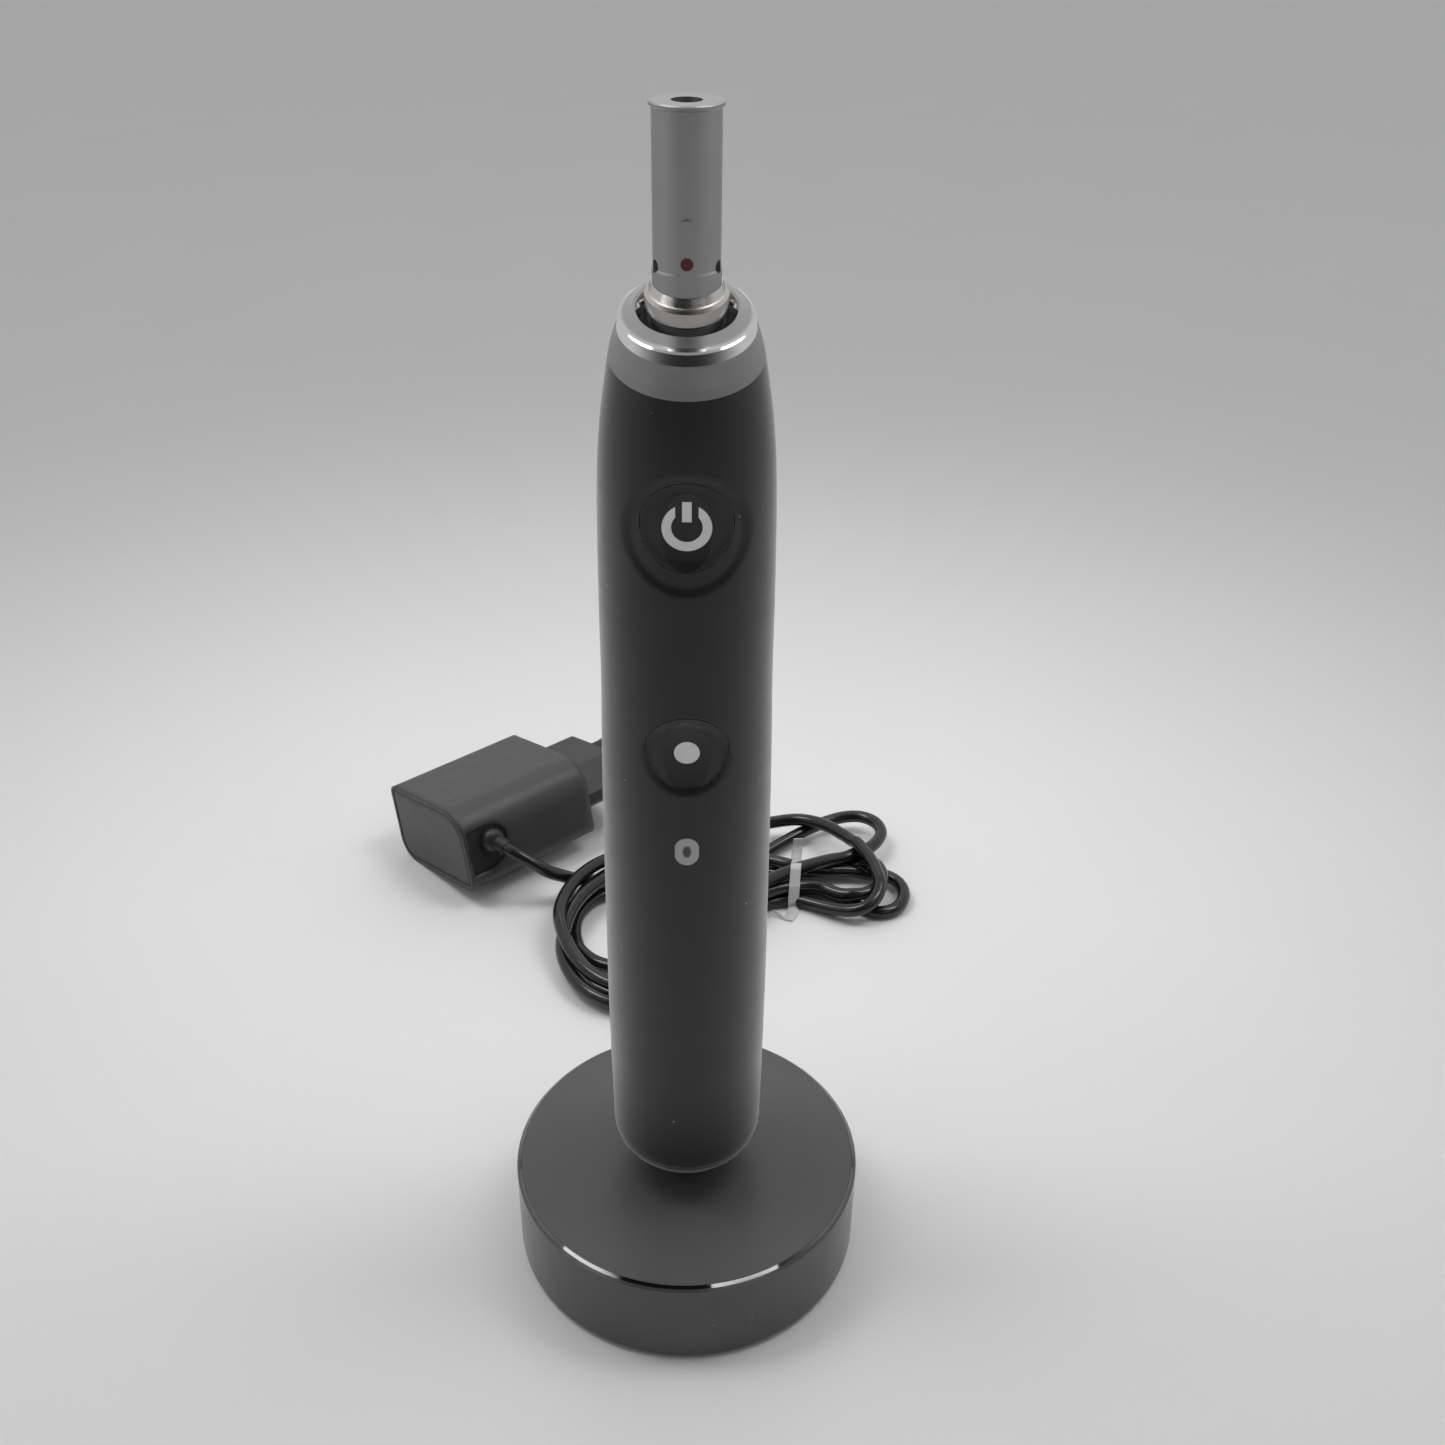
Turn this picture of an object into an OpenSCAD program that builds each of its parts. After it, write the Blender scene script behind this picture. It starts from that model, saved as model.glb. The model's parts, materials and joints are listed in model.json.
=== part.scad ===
// Electric toothbrush handle standing on its charger, with the mains plug and its tied lead.
// Millimetres, +Z up. The origin is the centre of the charger's footprint, on the surface it stands on.
// The handle's modules count their height from the handle's foot, and on_charger() lifts them into place.

/* [Charger] */
// Outer radius of the round charger
puck_r = 33.8; // [33:0.2:36]
// Height of the charger's flat top above the surface
puck_h = 20; // [19:0.5:24]
// Size of the polished bevel round the charger's top edge
rim_bevel = 0.9; // [0.5:0.1:1.2]
// Wall of the charger's side ring
puck_wall = 2; // [1.6:0.2:2.4]
// How far the rubber feet lift the charger's casing
foot_lift = 0.6; // [0.4:0.1:1]
// Radius of the post that the handle stands on
post_r = 5; // [4.8:0.1:5.1]
// Height of the post above the charger's flat top
post_h = 9; // [8:0.5:10]

/* [Handle] */
// Gap between the charger's flat top and the handle's foot
foot_gap = 4.2; // [3.6:0.2:5]
// Radius of the handle where the round foot ends
grip_r = 14.2; // [14:0.1:15]
// Radius of the round edge of the foot
foot_round = 7.5; // [7:0.1:7.6]
// Length of the dark grip from the foot to the light ring, measured on the axis
grip_len = 159.4; // [159:0.1:160]
// Wall of the grip
grip_wall = 1.6; // [1.4:0.1:1.7]

/* [Buttons] */
// Height of the power button's centre above the foot
power_h = 137.5; // [134:0.5:138]
// Radius of the power button
power_r = 6.9; // [6:0.1:7]
// Height of the mode button's centre above the foot
mode_h = 98.8; // [96:0.2:104]
// Radius of the mode button
mode_r = 6.6; // [5.5:0.1:7]
// Height of the indicator lens above the foot
lens_h = 80.1; // [76:0.1:84]
// Radius of the sphere that the hollow button faces are cut with
dish_r = 26; // [22:1:40]
// Depth of the hollow in the button faces
dish_depth = 0.8; // [0.4:0.1:1]

/* [Neck and shaft] */
// Slope of the light ring, the collar and the locating ring, which all rise towards the back
neck_slope = 0.27; // [0.2:0.01:0.3]
// Height of the light ring
ring_h = 4; // [3.8:0.1:4.2]
// Height of the polished collar
collar_h = 2.85; // [2.7:0.05:3]
// Radius of the opening in the collar
collar_bore_r = 7.4; // [7.3:0.1:7.5]
// Outer radius of the shaft tube
tube_r = 4.85; // [4.6:0.05:5]
// Radius of the lip at the shaft tube's tip
lip_r = 5.25; // [5.1:0.05:5.5]
// Radius of the bore in the shaft tube
bore_r = 2.17; // [2.15:0.01:2.3]
// Height of the shaft tube's tip above the foot
tip_h = 193.8; // [192:0.2:196]

/* [Mains plug] */
// Width of the plug's body
plug_w = 35; // [34:0.5:37]
// Height of the plug's body
plug_h = 21.8; // [21:0.2:24]
// Length of the plug's body without its nose
plug_len = 39.8; // [38:0.2:44]
// Length of the nose that enters the socket
nose_len = 15; // [12:0.5:17]
// Direction that the plug's pins point in, seen from above
plug_turn = 41; // [35:1:45]
// Tilt of the plug, which lies on one rounded long edge
plug_roll = 11.5; // [8:0.5:13]

/* [Lead] */
// Diameter of the lead
cord_d = 3.4; // [3:0.1:3.6]
// Height of the hank of lead behind the charger
hank_h = 10.4; // [9:0.2:12]

/* [Hidden] */
$fn = 64;
neck_fn = 180;
eps = 0.01;

// Charger levels and radii
top_r = puck_r - rim_bevel;
top_t = 2;
ledge_w = 1.2;
fit_gap = 0.05;
ring_in_r = puck_r - puck_wall;
base_r = ring_in_r - fit_gap;
base_t = 2;
base_top = foot_lift + base_t;
foot_r = 4;
foot_pocket = 0.8;
foot_circle_r = 22;
boss_circle_r = 27;
boss_r = 2.6;
pilot_r = 0.95;
screw_r = 0.9;
screw_head_r = 1.9;
screw_clear_r = 1.15;
head_pocket_r = 2.1;
head_pocket_h = 1;
board_r = 22;
board_t = 1.2;
board_z = 5;
core_z = 9.5;
core_r = 13;
core_top = 17.6;
post_skin = 1;

// Lead: route points are in millimetres over the surface
cord_r = cord_d / 2;
cord_sides = 8;
lead_z = 5.6;
boot_r = 3;
boot_tip_r = 2.2;
boot_len = 20;
boot_flange_r = 4;
boot_flange_t = 1.8;
boot_root_y = ring_in_r - 2.6;
boot_ribs = 5;
boot_rib_depth = 0.3;
boot_tip_y = puck_r + boot_len;
charger_route = [
    [0, boot_tip_y, lead_z], [0.2, 57.8, 5.2], [1, 61.6, 4.3], [2.4, 65.2, 3.3], [4.4, 68.6, 2.4],
    [7.2, 71.6, 1.9], [10.3, 74.2, 1.8]
];
hank_left = [-5, 93];
hank_left_r = 31;
hank_right = [36, 117];
hank_right_r = 22.5;

// Plug: x runs along the pins, y to the left and z up before the plug is turned and rolled
plug_at = [-77.6, 127];
plug_round = [6, 3, 8, 2.5];
plug_drop = plug_round[0] * (sin(plug_roll) + cos(plug_roll) - 1);
plug_wall = 1.8;
cover_rim = 0.9;
cover_t = 2;
cover_seam = 0.25;
entry_x = 8.6;
entry_z = 12.2;
entry_low = 4.3;
entry_high = 16.3;
entry_sink = 0.5;
entry_t = 0.6;
entry_edge = 1.2;
entry_lug = 1.8;
dome_r = 3.2;
dome_rise = 1.9;
spout_r = 2.15;
spout_len = 3.8;
spout_tilt = 38;
spout_turn = -51;
nose_mid_z = 10.4;
nose_t = 13.7;
nose_flat_w = 18;
nose_end_h = 3;
pin_r = 2;
pin_gap = 19;
pin_len = 19;
sleeve_len = 10;
sleeve_r = 1.7;
core_pin_r = 1.3;
pin_tip = 1;
plug_route = [
    [-47.1, 106.3, 16.7], [-43.5, 104.5, 15.5], [-39.5, 103.5, 13.5], [-36, 103.5, 11],
    [-32.5, 105, 8.5], [-29.5, 107, 6], [-26, 109.5, 3.5], [-22.5, 111.5, 2.2], [-18.5, 113, 2]
];

// Handle: stations are [radius, height above the foot]
foot_flat_r = grip_r - foot_round;
foot_z = puck_h + foot_gap;
post_top_h = post_h - foot_gap;
grip_stations = [
    [grip_r, foot_round], [grip_r + 0.3, 39], [grip_r + 0.15, 84], [grip_r - 0.2, 105],
    [grip_r - 0.25, 124], [grip_r - 0.55, 140], [grip_r - 1.2, 149], [grip_r - 2.2, grip_len - 3.2],
    [grip_r - 2.75, grip_len], [grip_r - 3.3, grip_len + 3], [grip_r - 3.75, grip_len + 5.2]
];
spline_steps = 4;
ring_r = grip_r - 2.73;
ring_lean = 0.55;
ring_low = grip_len - neck_slope * ring_lean;
ring_top = ring_low + ring_h;
collar_r = ring_r - 1.32;
collar_top = ring_top + collar_h;
collar_spigot_r = collar_bore_r + 1;
spigot_r = ring_r - 1.92;
spigot_in_r = spigot_r - 0.8;
spigot_len = 3.2;
led_space = 1.3;
neck_in_r = 9;
cap_r = foot_flat_r - fit_gap;
recess_r = post_r + 0.3;
recess_roof = 1.4;
seal_wire_r = 0.45;
button_gap = 0.15;
button_back_r = 11.9;
stem_r = 1.5;
stem_end = 10.5;
icon_depth = 0.5;
stem_sink = 0.3;
icon_ring_r = 3;
icon_stroke = 1.4;
icon_gap_w = 3.4;
icon_bar_low = 0.8;
icon_bar_len = 3.3;
dot_r = 2.05;
lens_w = 4;
lens_tall = 5.4;
pocket_depth = 1;

// Inside the handle
board_half_w = 6.4;
board_front_y = -8.4;
handle_board_t = 1;
cell_r = 7.2;
cell_y = 3;
cell_low = 17;
cell_len = 49;
chassis_r = 12;
chassis_in_r = 10.8;
pivot_h = 104;
pivot_r = 1;
case_r = 6.8;
case_wall = 0.7;
case_low = 108;
case_top = 153;
coil_in_r = 4.5;
coil_low = 118;
coil_high = 134;
rod_r = 1.6;
rod_low = 111;
rod_top = 182.5;
tip_top = 188;
rod_tip_r = 1.9;
running_gap = 0.05;
bush_r = 3;
magnet_r = 4;
spring_r = 3.4;
spring_wire_r = 0.3;
spring_turns = 5;
spring_sides = 6;
spring_steps = 12;

// Shaft tube and locating ring
tube_flange_r = 6.1;
rod_bore_r = 2.7;
mouth_len = 4.6;
mouth_h = tip_h - mouth_len;
neck_r = 5;
nickel_low = 166.35;
nickel_high = 168.7;
nickel_r = 6.1;
tube_foot = 171.5;
lip_h = 0.5;
rib_low = 169;
rib_w = 1.9;
rib_out = 0.4;
rib_top = 179.2;
dot_h = 173.3;
mark_r = 0.9;
notch_h = 172.2;
notch_turn = 66;
notch_r = 0.9;

// A point between a and b
function mix(a, b, t) = a + (b - a) * t;

// Points along an arc, in degrees
function arc(centre, r, from, to, n) =
    [for (i = [0 : n]) let (a = mix(from, to, i / n)) centre + r * [cos(a), sin(a)]];

// One point of a smooth curve that passes through b and c
function curve_point(a, b, c, d, t) =
    0.5 * (2 * b + (c - a) * t + (2 * a - 5 * b + 4 * c - d) * t * t + (3 * b - a - 3 * c + d) * t * t * t);

// A smooth curve through all points of p
function smooth(p, steps) = concat(
    [for (i = [0 : len(p) - 2], k = [0 : steps - 1])
        curve_point(p[max(i - 1, 0)], p[i], p[i + 1], p[min(i + 2, len(p) - 1)], k / steps)],
    [p[len(p) - 1]]
);

function reversed(p) = [for (i = [len(p) - 1 : -1 : 0]) p[i]];
function unit(v) = v / norm(v);

// Rings of points round a route, each square to it
function tube_points(route, r, sides) = [
    for (i = [0 : len(route) - 1])
        let (ahead = unit(route[min(i + 1, len(route) - 1)] - route[max(i - 1, 0)]))
        let (side = unit(cross(ahead, [0, 0, 1])))
        let (up = cross(side, ahead))
        for (k = [0 : sides - 1])
            let (a = 360 * k / sides)
            route[i] + r * cos(a) * side + r * sin(a) * up
];

function tube_faces(rings, sides) = concat(
    [[for (k = [0 : sides - 1]) k]],
    [for (i = [0 : rings - 2], k = [0 : sides - 1])
        let (a = i * sides + k)
        let (b = i * sides + (k + 1) % sides)
        each [[a, a + sides, b + sides], [a, b + sides, b]]],
    [[for (k = [sides - 1 : -1 : 0]) (rings - 1) * sides + k]]
);

module tube_along(route, r, sides) {
    polyhedron(points = tube_points(route, r, sides), faces = tube_faces(len(route), sides), convexity = 6);
}

// A ring between two radii, from one height to another
module sleeve(out_r, in_r, low, high) {
    translate([0, 0, low])
        difference() {
            cylinder(r = out_r, h = high - low);
            translate([0, 0, -eps])
                cylinder(r = in_r, h = high - low + 2 * eps);
        }
}

// Children moved up to where the handle stands
module on_charger() {
    translate([0, 0, foot_z])
        children();
}

// Children turned so that their +Z points to the front, -Y
module to_front() {
    rotate([90, 0, 0])
        children();
}

// ---------------------------------------------------------------- charger

module around(radius, turns) {
    for (a = turns)
        rotate([0, 0, a])
            translate([radius, 0, 0])
                children();
}

foot_turns = [45, 135, 225, 315];
boss_turns = [30, 150, 270];

module charger_ring() {
    color([0.10, 0.10, 0.11])
        difference() {
            rotate_extrude()
                polygon([
                    [puck_r - rim_bevel, foot_lift],
                    [puck_r, foot_lift + rim_bevel],
                    [puck_r, puck_h - rim_bevel],
                    [top_r, puck_h],
                    [top_r, puck_h - top_t],
                    [top_r - ledge_w, puck_h - top_t],
                    [top_r - ledge_w, puck_h - 2 * top_t],
                    [ring_in_r, puck_h - 3 * top_t],
                    [ring_in_r, foot_lift]
                ]);
            translate([0, 0, lead_z])
                rotate([-90, 0, 0])
                    cylinder(r = boot_r + fit_gap, h = puck_r + 1);
        }
}

module charger_top() {
    color([0.16, 0.16, 0.17])
        difference() {
            union() {
                translate([0, 0, puck_h - top_t])
                    cylinder(r = top_r - fit_gap, h = top_t);
                rotate_extrude()
                    polygon(concat(
                        [[0, puck_h - 1], [post_r + 1.5, puck_h - 1], [post_r + 1.5, puck_h]],
                        arc([post_r + 1.5, puck_h + 1.5], 1.5, -90, -180, 6),
                        arc([post_r - 1, puck_h + post_h - 1], 1, 0, 90, 6),
                        [[0, puck_h + post_h]]
                    ));
                around(boss_circle_r, boss_turns)
                    translate([0, 0, base_top])
                        cylinder(r = boss_r, h = puck_h - base_top - 1);
            }
            translate([0, 0, puck_h - top_t - eps])
                cylinder(r = post_r - post_skin, h = top_t + post_h - post_skin);
            around(boss_circle_r, boss_turns)
                translate([0, 0, base_top - eps])
                    cylinder(r = pilot_r, h = 10);
        }
}

module charger_base() {
    color([0.10, 0.10, 0.11])
        difference() {
            union() {
                translate([0, 0, foot_lift])
                    cylinder(r = base_r, h = base_t);
                around(board_r - 4, [90, 210, 330])
                    translate([0, 0, base_top - 1])
                        cylinder(r = 2, h = board_z - base_top + 1);
            }
            around(foot_circle_r, foot_turns)
                cylinder(r = foot_r + fit_gap, h = foot_lift + foot_pocket);
            translate([0, boot_root_y - fit_gap, lead_z])
                rotate([-90, 0, 0])
                    cylinder(r = boot_flange_r + fit_gap, h = puck_wall + boot_flange_t);
            around(boss_circle_r, boss_turns) {
                cylinder(r = screw_clear_r, h = puck_h);
                cylinder(r = head_pocket_r, h = foot_lift + head_pocket_h);
            }
        }
}

module charger_feet() {
    color([0.08, 0.08, 0.08])
        around(foot_circle_r, foot_turns)
            cylinder(r = foot_r, h = foot_lift + foot_pocket);
}

module charger_screws() {
    color([0.6, 0.6, 0.62])
        around(boss_circle_r, boss_turns) {
            translate([0, 0, foot_lift + 0.1])
                cylinder(r = screw_head_r, h = head_pocket_h - 0.1);
            translate([0, 0, foot_lift + head_pocket_h - 0.1])
                cylinder(r = screw_r, h = 9);
        }
}

module primary_coil() {
    color([0.72, 0.36, 0.16])
        sleeve(core_r - 1.4, 7.8, core_z + 2.2, core_top - 0.4);
}

module coil_core() {
    color([0.20, 0.19, 0.19])
        rotate_extrude()
            polygon([
                [0, core_z], [core_r, core_z], [core_r, core_top], [core_r - 1.2, core_top],
                [core_r - 1.2, core_z + 2], [7.5, core_z + 2], [7.5, core_top],
                [5.5, core_top], [5.5, core_z + 2], [0, core_z + 2]
            ]);
}

module dock_magnet() {
    color([0.75, 0.75, 0.77])
        translate([0, 0, puck_h])
            cylinder(r = post_r - post_skin - 0.1, h = post_h - post_skin - 0.2);
}

module charger_board() {
    color([0.05, 0.30, 0.16])
        difference() {
            translate([0, 0, board_z])
                cylinder(r = board_r, h = board_t);
            translate([-6, board_r - 5, 0])
                cube([12, 12, puck_h]);
        }
}

module charger_parts() {
    parts_z = board_z + board_t;
    color([0.15, 0.15, 0.2]) {
        translate([-17, -3, parts_z])
            cylinder(r = 2.5, h = 9);
        translate([-16, 4, parts_z])
            cylinder(r = 2.5, h = 7);
        translate([14.5, -6, parts_z])
            cube([4, 8, 6]);
        translate([-3, -8, parts_z])
            cube([6, 6, 1.6]);
        translate([3, 8, parts_z])
            cube([5, 3, 1.2]);
    }
}

// ---------------------------------------------------------------- lead

module cord_boot() {
    color([0.06, 0.06, 0.06])
        translate([0, boot_root_y, lead_z])
            rotate([-90, 0, 0])
                rotate_extrude()
                    polygon(concat(
                        [[0, 0], [boot_flange_r, 0], [boot_flange_r, boot_flange_t], [boot_r, boot_flange_t]],
                        [for (i = [0 : boot_ribs - 1])
                            let (y = 7 + 3 * i)
                            let (r = mix(boot_r, boot_tip_r, i / boot_ribs))
                            each [[r, y], [r - boot_rib_depth, y + 0.6], [r - boot_rib_depth, y + 1.2], [r, y + 1.8]]],
                        [[boot_tip_r, boot_tip_y - boot_root_y], [0, boot_tip_y - boot_root_y]]
                    ));
}

module cord_charger_lead() {
    color([0.07, 0.07, 0.07])
        tube_along(smooth(charger_route, 2), cord_r, cord_sides);
}

module cord_plug_lead() {
    color([0.07, 0.07, 0.07])
        tube_along(smooth(plug_route, 2), cord_r, cord_sides);
}

// The hank's plain envelope: two round ends joined by their outer tangents
module cord_hank() {
    span = hank_right - hank_left;
    heading = atan2(span[1], span[0]);
    lean = acos((hank_left_r - hank_right_r) / norm(span));
    color([0.07, 0.07, 0.07])
        linear_extrude(hank_h)
            union() {
                translate(hank_left)
                    circle(r = hank_left_r);
                translate(hank_right)
                    circle(r = hank_right_r);
                polygon([
                    hank_left + hank_left_r * [cos(heading + lean), sin(heading + lean)],
                    hank_left + hank_left_r * [cos(heading - lean), sin(heading - lean)],
                    hank_right + hank_right_r * [cos(heading - lean), sin(heading - lean)],
                    hank_right + hank_right_r * [cos(heading + lean), sin(heading + lean)]
                ]);
            }
}

module twist_tie() {
    color([0.85, 0.86, 0.87])
        translate([27, 98, hank_h])
            rotate([0, 0, 6])
                cube([3, 20, 0.8]);
}

// ---------------------------------------------------------------- mains plug

module at_plug() {
    translate([plug_at[0], plug_at[1], -plug_drop])
        rotate([0, 0, plug_turn])
            rotate([-plug_roll, 0, 0])
                children();
}

// The plug's section, set in from the outside: low left, low right, high right, high left
function plug_outline(inset) = concat(
    arc([-plug_round[0], plug_round[0]], plug_round[0] - min(inset, plug_round[0] - 0.4), 0, -90, 6),
    arc([-plug_w + plug_round[1], plug_round[1]], plug_round[1] - min(inset, plug_round[1] - 0.4), 270, 180, 6),
    arc([-plug_w + plug_round[2], plug_h - plug_round[2]], plug_round[2] - inset, 180, 90, 8),
    arc([-plug_round[3], plug_h - plug_round[3]], plug_round[3] - min(inset, plug_round[3] - 0.4), 90, 0, 6)
);

// A length of a section that is drawn in y and z
module along_x(from, to) {
    translate([from, 0, 0])
        rotate([90, 0, 90])
            linear_extrude(to - from)
                children();
}

// Children placed on the side that the lead leaves, with +Z pointing out of that side
module at_entry() {
    translate([entry_x, -plug_w, entry_z])
        rotate([90, 0, 0])
            children();
}

// The outline of the entry panel, grown by a gap
module entry_panel(grow, depth) {
    low = entry_low - entry_z - grow;
    high = entry_high - entry_z + grow;
    radius = (high - low) / 2;
    translate([0, 0, -depth])
        linear_extrude(depth)
            union() {
                translate([entry_edge - entry_x - grow, low])
                    square([entry_x - entry_edge - entry_lug + grow, high - low]);
                translate([-entry_lug, (low + high) / 2])
                    circle(r = radius);
            }
}

module pin_places() {
    for (side = [-1, 1])
        translate([0, -plug_w / 2 + side * pin_gap / 2, nose_mid_z])
            rotate([0, 90, 0])
                children();
}

module plug_body() {
    color([0.13, 0.13, 0.14])
        at_plug()
            difference() {
                along_x(0, plug_len)
                    polygon(plug_outline(0));
                along_x(-1, cover_t)
                    polygon(plug_outline(cover_rim));
                along_x(cover_t - 1, plug_len - plug_wall)
                    polygon(plug_outline(plug_wall));
                at_entry()
                    translate([0, 0, 1])
                        entry_panel(0.15, plug_wall + 2);
                pin_places()
                    cylinder(r = core_pin_r + fit_gap, h = plug_len + 1);
            }
}

module plug_nose() {
    half_t = nose_t / 2;
    flat = nose_flat_w / 2;
    side = plug_w / 2 - 0.1;
    color([0.13, 0.13, 0.14])
        at_plug()
            difference() {
                along_x(plug_len, plug_len + nose_len)
                    translate([-plug_w / 2, nose_mid_z])
                        polygon([
                            [flat, -half_t], [side, -nose_end_h / 2], [side, nose_end_h / 2], [flat, half_t],
                            [-flat, half_t], [-side, nose_end_h / 2], [-side, -nose_end_h / 2], [-flat, -half_t]
                        ]);
                pin_places()
                    cylinder(r = core_pin_r + fit_gap, h = plug_len + nose_len + 1);
            }
}

module plug_cover() {
    color([0.14, 0.14, 0.15])
        at_plug()
            along_x(0.1, cover_t)
                polygon(plug_outline(cover_rim + cover_seam));
}

module plug_cord_entry() {
    color([0.07, 0.07, 0.07])
        at_plug()
            at_entry()
                union() {
                    translate([0, 0, -entry_sink])
                        entry_panel(0, entry_t);
                    translate([-0.6, 0, 0]) {
                        rotate_extrude()
                            polygon(concat(
                                [[0, -entry_sink - 0.1], [dome_r, -entry_sink - 0.1]],
                                arc([dome_r - dome_rise, 0.4], dome_rise, 0, 90, 6),
                                [[0, 0.4 + dome_rise]]
                            ));
                        rotate([0, 0, spout_turn])
                            rotate([0, spout_tilt, 0])
                                translate([0, 0, 0.4])
                                    cylinder(r = spout_r, h = spout_len);
                    }
                }
}

module plug_pins() {
    root = plug_len - 4;
    shown = plug_len + nose_len;
    color([0.78, 0.76, 0.70])
        at_plug()
            pin_places()
                rotate_extrude()
                    polygon([
                        [0, root], [core_pin_r, root], [core_pin_r, shown + sleeve_len], [pin_r, shown + sleeve_len],
                        [pin_r, shown + pin_len - pin_tip], [pin_r - pin_tip, shown + pin_len], [0, shown + pin_len]
                    ]);
}

module pin_sleeves() {
    shown = plug_len + nose_len;
    color([0.10, 0.10, 0.10])
        at_plug()
            pin_places()
                sleeve(sleeve_r, core_pin_r, shown, shown + sleeve_len);
}

module plug_board() {
    color([0.05, 0.30, 0.16])
        at_plug()
            translate([6, -plug_w + 5, 4])
                cube([29, plug_w - 10, board_t]);
}

module plug_transformer() {
    color([0.75, 0.62, 0.20])
        at_plug()
            translate([15, -22, 4 + board_t]) {
                cube([12, 12, 4]);
                translate([3, -2, 0])
                    cube([6, 16, 11]);
            }
}

module plug_capacitors() {
    color([0.12, 0.12, 0.25])
        at_plug()
            for (y = [-13, -22])
                translate([31, y, 4 + board_t])
                    cylinder(r = 3, h = 9);
}

// ---------------------------------------------------------------- handle

grip_line = smooth(grip_stations, spline_steps);

// The grip's half section, from its outside face to a face set in by one wall
function grip_section() = concat(
    arc([foot_flat_r, foot_round], foot_round, -90, 0, 8),
    grip_line,
    [[neck_in_r, grip_len + 5.2], [neck_in_r, grip_len - 6.5]],
    reversed([for (p = grip_line) if (p[1] < grip_len - 8) [p[0] - grip_wall, p[1]]]),
    arc([foot_flat_r, foot_round], foot_round - grip_wall, 0, -90, 8)
);

// The grip's outside filled in, which the button faces are cut from
module grip_filled(low, high) {
    rotate_extrude()
        polygon(concat(
            [[0, low]],
            [for (p = grip_line) if (p[1] >= low && p[1] <= high) p],
            [[0, high]]
        ));
}

// A cylinder that runs to the front from near the axis
module front_cylinder(r, height, near, far) {
    translate([0, -near, height])
        to_front()
            cylinder(r = r, h = far - near);
}

module lens_shape(grow, near, far) {
    reach = (lens_tall - lens_w) / 2;
    for (side = [-1, 1])
        front_cylinder(lens_w / 2 + grow, lens_h + side * reach, near, far);
    translate([-lens_w / 2 - grow, -far, lens_h - reach])
        cube([lens_w + 2 * grow, far - near, 2 * reach]);
}

module handle_shell() {
    lens_back = grip_r + 0.1 - pocket_depth;
    color([0.05, 0.05, 0.055])
        on_charger()
            difference() {
                rotate_extrude()
                    polygon(grip_section());
                front_cylinder(power_r + button_gap, power_h, 5, grip_r + 2);
                front_cylinder(mode_r + button_gap, mode_h, 5, grip_r + 2);
                lens_shape(0, lens_back, grip_r + 2);
                front_cylinder(1, lens_h, 5, grip_r);
                skewed()
                    translate([0, 0, ring_low])
                        cylinder(r = 2 * grip_r, h = 4 * ring_h);
                skewed()
                    translate([0, 0, ring_low - spigot_len - led_space])
                        cylinder(r = spigot_r + fit_gap, h = 4 * ring_h);
            }
}

module bottom_cap() {
    color([0.05, 0.05, 0.055])
        on_charger()
            rotate_extrude()
                polygon([
                    [recess_r + 0.3, 0], [cap_r, 0], [cap_r, post_top_h + recess_roof],
                    [0, post_top_h + recess_roof], [0, post_top_h], [recess_r, post_top_h], [recess_r, 0.3]
                ]);
}

module foot_seal() {
    color([0.08, 0.08, 0.08])
        on_charger()
            translate([0, 0, grip_wall + seal_wire_r + 0.05])
                rotate_extrude()
                    translate([cap_r + seal_wire_r + 0.03, 0])
                        circle(r = seal_wire_r);
}

module keeper_plate() {
    low = post_top_h + recess_roof;
    color([0.6, 0.6, 0.62])
        on_charger()
            translate([0, 0, low])
                cylinder(r = cap_r - 1, h = 1);
}

module receive_coil() {
    color([0.72, 0.36, 0.16])
        on_charger()
            sleeve(10, cap_r + 1.2, 3.6, 10);
}

module chassis() {
    arm_low = pivot_h - 4;
    arm_high = pivot_h + 3.5;
    color([0.85, 0.85, 0.82])
        on_charger()
            difference() {
                union() {
                    intersection() {
                        sleeve(chassis_r, chassis_in_r, 14, 118);
                        translate([-chassis_r, 2, 0])
                            cube([2 * chassis_r, 2 * chassis_r, 200]);
                    }
                    intersection() {
                        union() {
                            sleeve(chassis_r - 0.1, 3, 14, cell_low - 1);
                            sleeve(chassis_r - 0.1, 3, cell_low + cell_len + 1, cell_low + cell_len + 3);
                        }
                        translate([-chassis_r, board_front_y + handle_board_t + 0.1, 0])
                            cube([2 * chassis_r, 2 * chassis_r, 200]);
                    }
                    for (side = [-1, 1])
                        translate([side * 6.5 - 1.5, -3, arm_low])
                            cube([3, 12, arm_high - arm_low]);
                }
                translate([-chassis_r, 0, pivot_h])
                    rotate([0, 90, 0])
                        cylinder(r = pivot_r, h = 2 * chassis_r);
            }
}

module battery() {
    color([0.20, 0.42, 0.62])
        on_charger()
            translate([0, cell_y, cell_low]) {
                cylinder(r = cell_r, h = cell_len);
                translate([0, 0, cell_len - eps])
                    cylinder(r = 2.5, h = 0.6);
            }
}

module battery_tabs() {
    color([0.80, 0.80, 0.78])
        on_charger() {
            translate([-2, -7.3, cell_low - 0.4])
                cube([4, 11, 0.4]);
            translate([-2, -7.3, cell_low + cell_len + 0.6])
                cube([4, 11, 0.35]);
        }
}

module circuit_board() {
    color([0.05, 0.30, 0.16])
        on_charger()
            translate([-board_half_w, board_front_y, 20])
                cube([2 * board_half_w, handle_board_t, 123]);
}

module tact_switches() {
    color([0.25, 0.25, 0.27])
        on_charger()
            for (h = [power_h, mode_h])
                translate([-2.2, board_front_y - 1.2, h - 2.2])
                    cube([4.4, 1.2, 4.4]);
}

module status_led() {
    color([0.95, 0.95, 0.9])
        on_charger()
            translate([-1, board_front_y - 0.8, lens_h - 1])
                cube([2, 0.8, 2]);
}

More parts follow.
